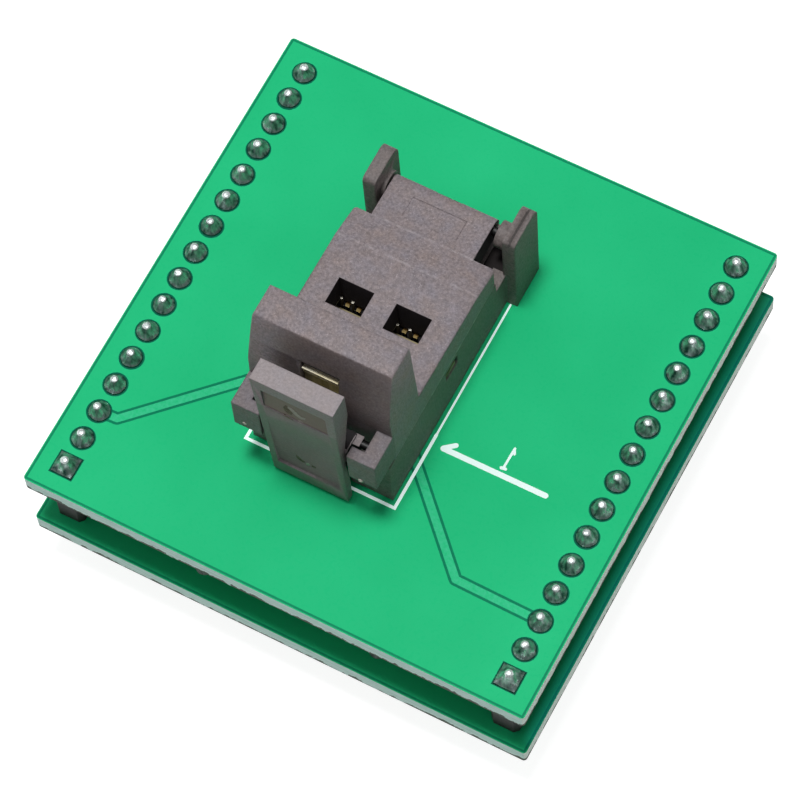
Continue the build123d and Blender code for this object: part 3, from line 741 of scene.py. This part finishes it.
turned_pin = turned("turned_pin", [(0, 0), (0.13, 0), (0.20, 0.05), (0.24, 0.16), (0.24, 3.02), (0.27, 3.12),
                                   (0.35, 3.2), (0.35, 7.62), (0.30, 7.7), (0, 7.7)], 16)
laid_out("plug_in_pins", [(x, y, 0) for x in (-plug_x, plug_x) for y in row_ys], turned_pin, gold_wire, "lower",
         0, 0, 0, 1, ("plug_pins_left", "plug_pins_right"))
top_bell = turned("top_bell", [(0, 0), (0.80, 0), (0.78, 0.06), (0.62, 0.18), (0.50, 0.38), (0.42, 0.55),
                               (0.36, 0.60)], 20)
laid_out("plug_joints", [(x, y, lower_top) for x in (-plug_x, plug_x) for y in row_ys], top_bell, solder_tin, "lower",
         6.28, 0.05, 0.0, 7)


# Socket base: brown glass-filled plastic, speckled on its lit faces, with small rounded edges
# from the mould. Two ears carry the hinge pin behind and a catch stands in front.

body_x = -1.45


def whole(node_name, finish, body, name, change=None, rounds=()):
    """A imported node's shape with its flat faces made whole, as a piece in its place.

    rounds are (radius, test) pairs: a test takes an edge's two ends in mm and says which edges get it.
    """
    sheet = bmesh.new()
    sheet.from_mesh(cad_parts[node_name].data)
    bmesh.ops.remove_doubles(sheet, verts=sheet.verts, dist=1e-6)
    bmesh.ops.dissolve_limit(sheet, angle_limit=math.radians(1.0), verts=sheet.verts, edges=sheet.edges)
    if change:
        change(sheet)
    for radius, test in rounds:
        chosen = [edge for edge in sheet.edges if len(edge.link_faces) == 2 and edge.calc_face_angle(0) > 0.6
                  and test(*[corner.co / mm for corner in edge.verts])]
        bmesh.ops.bevel(sheet, geom=chosen, offset=radius * mm, segments=3, profile=0.5, affect="EDGES",
                        clamp_overlap=True)
    piece = finished(name, sheet, finish, body, 35)
    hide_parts(node_name)
    return piece


base_plastic, skin = moulded("base_plastic", (0.150, 0.122, 0.114), (0.138, 0.121, 0.120), (0.30, 0.27, 0.25), 0.5,
                             0.38, 0.016, 0.28)[:2]
tree = base_plastic.node_tree
axes, facing = place_and_facing(tree)[1:]
# painted shade: the nest under the windows is painted nearly black
nest = both(tree, within(tree, axes["Z"], 16.0, 20.58), within(tree, axes["X"], -6.4, 3.5),
            within(tree, axes["Y"], -3.4, 2.6))
skin = blend(tree, nest, skin, (0.012, 0.010, 0.011, 1))
# painted shade on the two wells between the hinge tongue and the ears as well
across = off(tree, axes["X"], body_x)
well = both(tree, within(tree, across, 4.1, 6.0), within(tree, axes["Y"], 6.8, 11.6),
            calc(tree, "MAXIMUM", under(tree, across, 4.9 * mm), over(tree, axes["Y"], 8.6 * mm)),
            within(tree, axes["Z"], 16.0, 21.6))
skin = blend(tree, both(tree, well, 0.97), skin, (0.006, 0.004, 0.004, 1))
# painted shade darkens the groove over the right ear
groove = both(tree, within(tree, axes["X"], 4.94, 5.12), over(tree, axes["Z"], 24.0 * mm),
              over(tree, facing["Z"], 0.25))
skin = blend(tree, both(tree, groove, 0.7), skin, (0.020, 0.018, 0.016, 1))
feed(base_plastic, "Base Color", skin)
dull = calc(tree, "MAXIMUM", tree.nodes["Group"].outputs["Roughness"], calc(tree, "MAXIMUM", nest, well))
feed(base_plastic, "Roughness", dull)


def ear_edge(a, b):
    """The upper edges of both ears that run from front to back."""
    out = abs(a.x - body_x)
    return min(a.z, b.z) > 24.9 and abs(a.x - b.x) < 0.01 and min(abs(out - 6.95), abs(out - 5.85)) < 0.02


whole("socket_base", base_plastic, "upper", "socket_body", None, [(0.2, ear_edge)])


# Contacts of the two sites and the bar below them: gold-plated spring sheet, and a rolled brass
# strip that lies across the base, its ends in the side slots.

gold_leaf = metal("gold_leaf", (1.0, 0.80, 0.36), (0.90, 0.62, 0.22), 1600.0, 0.30, 0.5, 0.002, metallic=0.4)
tree = gold_leaf.node_tree
# painted shade: the contacts are painted dark towards the back
back_shade = rise(tree, place_and_facing(tree)[1]["Y"], 0.42 * mm, 0.72 * mm)
feed(gold_leaf, "Base Color", blend(tree, back_shade, tree.nodes["Group"].outputs["Color"], (0.16, 0.085, 0.020, 1)))
for side in ("left", "right"):
    coat("site_contacts_" + side, gold_leaf)
coat("nest_bar", metal("nest_brass", (0.30, 0.25, 0.13), (0.12, 0.10, 0.05), 900.0, 0.4, 0.6, 0.01, (0.1, 1, 1), 0.3))

spring_ends = bmesh.new()
for x, y in ((-5.29, 0.50), (-4.34, 0.56), (-0.43, 0.43), (0.62, 0.47)):
    bmesh.ops.create_cube(spring_ends, size=1, matrix=Matrix.Translation(Vector((x, y, 20.15)) * mm)
                          @ Matrix.Rotation(0.3, 4, "Z") @ Matrix.Diagonal((0.24 * mm, 0.18 * mm, 1.3 * mm, 1)))
bmesh.ops.bevel(spring_ends, geom=spring_ends.edges[:], offset=0.03 * mm, segments=2, profile=0.5, affect="EDGES")
worn_tip = metal("worn_tip", (0.52, 0.50, 0.44), (0.30, 0.27, 0.20), 3000.0, 0.3, 0.5, 0.004, metallic=0.2)
tree = worn_tip.node_tree
end = over(tree, place_and_facing(tree)[2]["Z"], 0.4)
feed(worn_tip, "Base Color", blend(tree, end, (0.035, 0.026, 0.014, 1), tree.nodes["Group"].outputs["Color"]))
feed(worn_tip, "Roughness", calc(tree, "SUBTRACT", 0.85, both(tree, end, 0.5)))
finished("contact_backs", spring_ends, worn_tip, "upper", 40)

lead_z = 13.1
lead_bell = turned("lead_bell", [(0, 0), (0.42, 0), (0.40, -0.05), (0.27, -0.20), (0.18, -0.42), (0, -0.46)], 12)
lead_places = [(body_x + u + lead, -0.4 + side * (3.5 if lead == 0 else 2.4), lead_z)
               for u in (-2.45, 2.45) for lead in (-0.95, 0, 0.95) for side in (-1, 1)]
laid_out("lead_joints", lead_places, lead_bell, solder_tin, "upper", 6.28, 0.1, 0.05, 9)


# Lid: the same plastic, moulded as one hollow cover with two windows, a tall ridge, the arms
# for the latch and the hinge tongue. A bare panel stands a little proud on the tongue.

lid_plastic, skin, height = moulded("lid_plastic", (0.210, 0.166, 0.160), (0.192, 0.170, 0.190),
                                    (0.46, 0.41, 0.43), 0.6, 0.36, 0.016, 0.24)
tree = lid_plastic.node_tree
where, axes, facing = place_and_facing(tree)
# painted shade: the insides of the two windows and the tongue's right side are painted nearly black, and they are dull
upright = under(tree, calc(tree, "ABSOLUTE", facing["Z"]), 0.5)
across = off(tree, axes["X"], body_x)
window = both(tree, within(tree, across, 0.9, 4.0), within(tree, axes["Y"], -1.6, 0.8),
              calc(tree, "MAXIMUM", upright, under(tree, axes["Z"], 22.5 * mm)))
side_wall = both(tree, over(tree, facing["X"], 0.5), within(tree, axes["Y"], 6.87, 10.5),
                 under(tree, axes["Z"], 22.9 * mm))
unlit = calc(tree, "MAXIMUM", window, side_wall)
skin = blend(tree, unlit, skin, (0.016, 0.009, 0.013, 1))
feed(lid_plastic, "Roughness", calc(tree, "MAXIMUM", tree.nodes["Group"].outputs["Roughness"], unlit))
# pale lines: the two creases of the deck, and a painted highlight along the lower edge of the right wall
broken = calc(tree, "MAXIMUM", noise(tree, where, 1400.0, 2.0, 0.6, (-0.35, 1.0)), 0.0)
creases = calc(tree, "MAXIMUM", within(tree, axes["Y"], 3.9, 4.1),
               within(tree, axes["Y"], 6.76, 6.94))
creases = both(tree, creases, broken, over(tree, facing["Z"], 0.5), 0.38)
lower_edge_highlight = both(tree, within(tree, axes["Z"], 20.5, 20.74), within(tree, axes["Y"], -5.0, 4.4),
                  broken, over(tree, facing["X"], 0.5), 0.8)
skin = blend(tree, creases, skin, (0.46, 0.42, 0.43, 1))
skin = blend(tree, lower_edge_highlight, skin, (0.60, 0.66, 0.58, 1))
# painted shade: the front of the ridge is darker right of its left end, behind the latch, and the arms' tops are
# darkened
ridge_front_shade = both(tree, under(tree, facing["Y"], -0.7), over(tree, axes["Z"], 24.6 * mm),
             rise(tree, axes["X"], -6.4 * mm, -4.0 * mm, "SMOOTHSTEP"), 0.5)
skin = blend(tree, ridge_front_shade, skin, (0.070, 0.048, 0.042, 1))
arm_top_shade = both(tree, under(tree, axes["Z"], 24.7 * mm), under(tree, axes["Y"], -9.2 * mm), 0.35)
skin = blend(tree, arm_top_shade, skin, (0.045, 0.045, 0.050, 1))
feed(lid_plastic, "Base Color", skin)
# the bare panel raised a little on the tongue
off_x = calc(tree, "SUBTRACT", off(tree, axes["X"], -1.51), 2.36 * mm)
off_y = calc(tree, "SUBTRACT", off(tree, axes["Y"], 8.66), 0.94 * mm)
rim = rise(tree, calc(tree, "MAXIMUM", off_x, off_y), -0.09 * mm, 0.0)
tree.links.new(calc(tree, "ADD", height, both(tree, rim, -6.0)), tree.nodes["Bump"].inputs["Height"])


def trim_cover(sheet):
    """The tongue's right side stands clear of the boss, and the spring's pocket runs up past the leaf."""
    side_x, trimmed_x, deck_end_y = 3.08, 2.74, 6.8
    pocket_z, raised_z, lean = 28.82, 29.55, 0.146
    for corner in sheet.verts:
        x, y, z = corner.co / mm
        if abs(x - side_x) < 0.02 and y > deck_end_y:
            corner.co.x = trimmed_x * mm
        if abs(z - pocket_z) < 0.02 and -3.2 < x < 0.3:
            corner.co = Vector((x, y + (lean if y < -8.8 else 0.0), raised_z)) * mm


def outer_edge(a, b):
    """The lid's left and right upper edges and its two rear corners."""
    side = all(abs(abs(p.x - body_x) - 6.05) < 0.02 for p in (a, b))
    deck = side and min(a.z, b.z) > 22.9 and max(a.z, b.z) < 23.9 and min(a.y, b.y) > -5.5
    corner = side and min(a.y, b.y) > 6.8 and abs(a.z - b.z) > 2
    return deck or corner


def ridge_edge(a, b):
    """The upper edges of the ridge, along its front, its back and its two ends."""
    return min(a.z, b.z) > 32.3


whole("lid", lid_plastic, "lid", "lid_cover", trim_cover, [(0.28, outer_edge), (0.16, ridge_edge)])

nubs = bmesh.new()
for x, y, z, size in ((3.24, -12.13, 21.1, 0.26), (-6.59, -12.13, 21.6, 0.22)):
    spot = Matrix.Translation(Vector((x, y, z)) * mm)
    bmesh.ops.create_icosphere(nubs, subdivisions=2, radius=size * mm, matrix=spot)
nub_plastic = moulded("nub_plastic", (0.50, 0.48, 0.42), (0.40, 0.39, 0.34), (0.6, 0.6, 0.55), 0.5, 0.2, 0.006, 0.03)[0]
finished("gate_nubs", nubs, nub_plastic, "lid", 60)


# Hinge pin and latch pin of blackened steel, and the hinge's coil spring of drawn wire.

black_steel = metal("black_steel", (0.05, 0.05, 0.05), (0.03, 0.03, 0.03), 800.0, 0.45, 0.6, 0.002, (0.1, 1, 1))
for pin in ("hinge_pin", "latch_pin"):
    coat(pin, black_steel)
coat("hinge_spring", metal("spring_wire", (0.55, 0.54, 0.52), (0.30, 0.29, 0.28), 1200.0, 0.2, 0.4, 0.002))


# Latch: a plate of the same plastic that tapers to its hook, with a finger recess above a sunk
# panel. It turns on its pin between the lid's arms.

latch_plastic, skin = moulded("latch_plastic", (0.222, 0.184, 0.180), (0.205, 0.184, 0.196), (0.42, 0.38, 0.40), 0.5,
                              0.26, 0.014, 0.16)[:2]
tree = latch_plastic.node_tree
axes, facing = place_and_facing(tree)[1:]
# painted light: the floor of the finger recess is painted browner than the plate, as lit from above without the board's
# green light
recess_floor_light = both(tree, within(tree, axes["Z"], 28.15, 31.15), within(tree, axes["X"], -4.1, 1.15),
             under(tree, facing["Y"], -0.5), 0.85)
skin = blend(tree, recess_floor_light, skin, (0.150, 0.104, 0.082, 1))
# painted reflection: the sunk panel below it is painted greener and darker with the board's green light; painted shade
# lies along the recess's left wall, and a painted highlight on the top
panel_green_reflection = both(tree, under(tree, axes["Z"], 28.0 * mm), under(tree, facing["Y"], -0.5), 0.55)
skin = blend(tree, panel_green_reflection, skin, (0.098, 0.128, 0.098, 1))
left_wall_shade = both(tree, over(tree, facing["X"], 0.5), under(tree, axes["X"], -3.4 * mm),
                 over(tree, axes["Z"], 28.0 * mm), 0.8)
skin = blend(tree, left_wall_shade, skin, (0.014, 0.016, 0.014, 1))
high = both(tree, over(tree, facing["Z"], 0.8), over(tree, axes["Z"], 32.0 * mm), 0.13)
skin = blend(tree, high, skin, (0.60, 0.54, 0.56, 1))
# painted shade: the barrel beside the plate is painted dark where it lies in the dark, apart from the end of its lug
lug_end = both(tree, over(tree, axes["X"], 1.78 * mm), over(tree, facing["Z"], 0.9))
barrel = both(tree, over(tree, axes["Y"], -11.4 * mm), under(tree, axes["Z"], 24.6 * mm),
              calc(tree, "SUBTRACT", 1.0, lug_end))
feed(latch_plastic, "Base Color", blend(tree, barrel, skin, (0.014, 0.012, 0.013, 1)))
feed(latch_plastic, "Roughness", calc(tree, "MAXIMUM", tree.nodes["Group"].outputs["Roughness"], barrel))
latch_plate = whole("latch", latch_plastic, "latch", "latch_plate")


# Leaf spring: a folded sheet of rolled brass that pushes the latch shut.

brass_sheet = metal("brass_sheet", (0.62, 0.57, 0.40), (0.22, 0.19, 0.10), 900.0, 0.28, 0.5, 0.01, (1, 1, 0.08), 0.8)
tree = brass_sheet.node_tree
# painted highlight: the leaf's upper edge is painted nearly white
edge_glint = within(tree, place_and_facing(tree)[1]["Z"], 28.6, 28.9)
feed(brass_sheet, "Base Color", blend(tree, edge_glint, tree.nodes["Group"].outputs["Color"], (0.95, 0.90, 0.76, 1)))
leaf = bmesh.new()
leaf.from_mesh(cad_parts["latch_spring"].data)
bmesh.ops.remove_doubles(leaf, verts=leaf.verts, dist=1e-6)
spring_leaf = finished("spring_leaf", leaf, brass_sheet, None, 35)
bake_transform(spring_leaf)
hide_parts("latch_spring")


# Marks of the mould on the latch's front: a slot with a brass rivet's edge in the finger recess,
# and the gate's scar low on the panel. Each is a thin patch laid on the face.

def laid_on(name, patches, finish, lift=0.012):
    """Flat patches of (x, z) outlines laid on the latch's front face."""
    sheet = bmesh.new()
    for outline in patches:
        spots = [latch_plate.ray_cast(Vector((x, -20, z)) * mm, Vector((0, 1, 0)))[1] for x, z in outline]
        top = [sheet.verts.new(spot - Vector((0, lift * mm, 0))) for spot in spots]
        low = [sheet.verts.new(spot + Vector((0, lift * mm, 0))) for spot in spots]
        plate(sheet, top, low)
    finished(name, sheet, finish, "latch")


bpy.context.view_layer.update()
# painted shade: the dark patches stand for the openings of the slot and of the scar's pits
painted_hole_shade = metal("painted_hole_shade", (0.085, 0.062, 0.022), (0.016, 0.012, 0.008), 3500.0, 0.6, 0.9, 0.003, metallic=0.0)
pale_scar = moulded("pale_scar", (0.33, 0.30, 0.26), (0.26, 0.24, 0.21), (0.6, 0.58, 0.55), 0.5, 0.3, 0.004, 0.02)[0]
laid_on("slot_dark", [[(-2.48, 29.36), (-2.24, 29.85), (-2.02, 29.5), (-1.67, 29.15), (-1.84, 28.59), (-2.21, 28.6),
                       (-2.45, 28.9)], [(-2.49, 28.2), (-2.09, 28.1), (-1.68, 28.03), (-1.74, 27.85), (-2.2, 27.83),
                                        (-2.56, 27.95)]], painted_hole_shade)
laid_on("slot_pale", [[(-2.07, 29.85), (-1.7, 29.79), (-1.32, 29.38), (-0.93, 29.06), (-0.63, 29.18), (-0.69, 28.85),
                       (-1.08, 28.63), (-1.48, 28.86), (-1.86, 29.31), (-2.1, 29.55)],
                      [(-1.37, 28.17), (-1.06, 28.43), (-0.87, 28.23), (-1.02, 27.9), (-1.32, 27.9)]], pale_scar, 0.016)
laid_on("scar_dark", [[(-2.47, 19.64), (-2.26, 19.58), (-2.07, 19.21), (-1.75, 18.98), (-1.86, 18.58), (-2.2, 18.71),
                       (-2.44, 19.11)], [(-1.15, 18.95), (-0.81, 18.92), (-0.88, 18.57), (-1.2, 18.56)]], painted_hole_shade)
laid_on("scar_pale", [[(-1.67, 18.88), (-1.4, 19.06), (-1.29, 18.8), (-1.49, 18.4), (-1.7, 18.45)]], pale_scar, 0.016)


# The leaf's sheared upper edge and the lip folded below it: brass lit by the lamp, and painted pale as well, a painted
# highlight.

lip = bmesh.new()
for y, z, deep, high in ((-8.90, 28.72, 0.20, 0.07), (-8.80, 28.05, 0.14, 0.10)):
    bmesh.ops.create_cube(lip, size=1, matrix=Matrix.Translation(Vector((body_x, y, z)) * mm)
                          @ Matrix.Diagonal((3.0 * mm, deep * mm, high * mm, 1)))
brass_painted_highlight = metal("brass_painted_highlight", (0.92, 0.86, 0.68), (0.62, 0.54, 0.34), 1800.0, 0.25, 0.4, 0.003, (0.3, 1, 1),
                     0.35)
finished("spring_lip", lip, brass_painted_highlight, "lid")
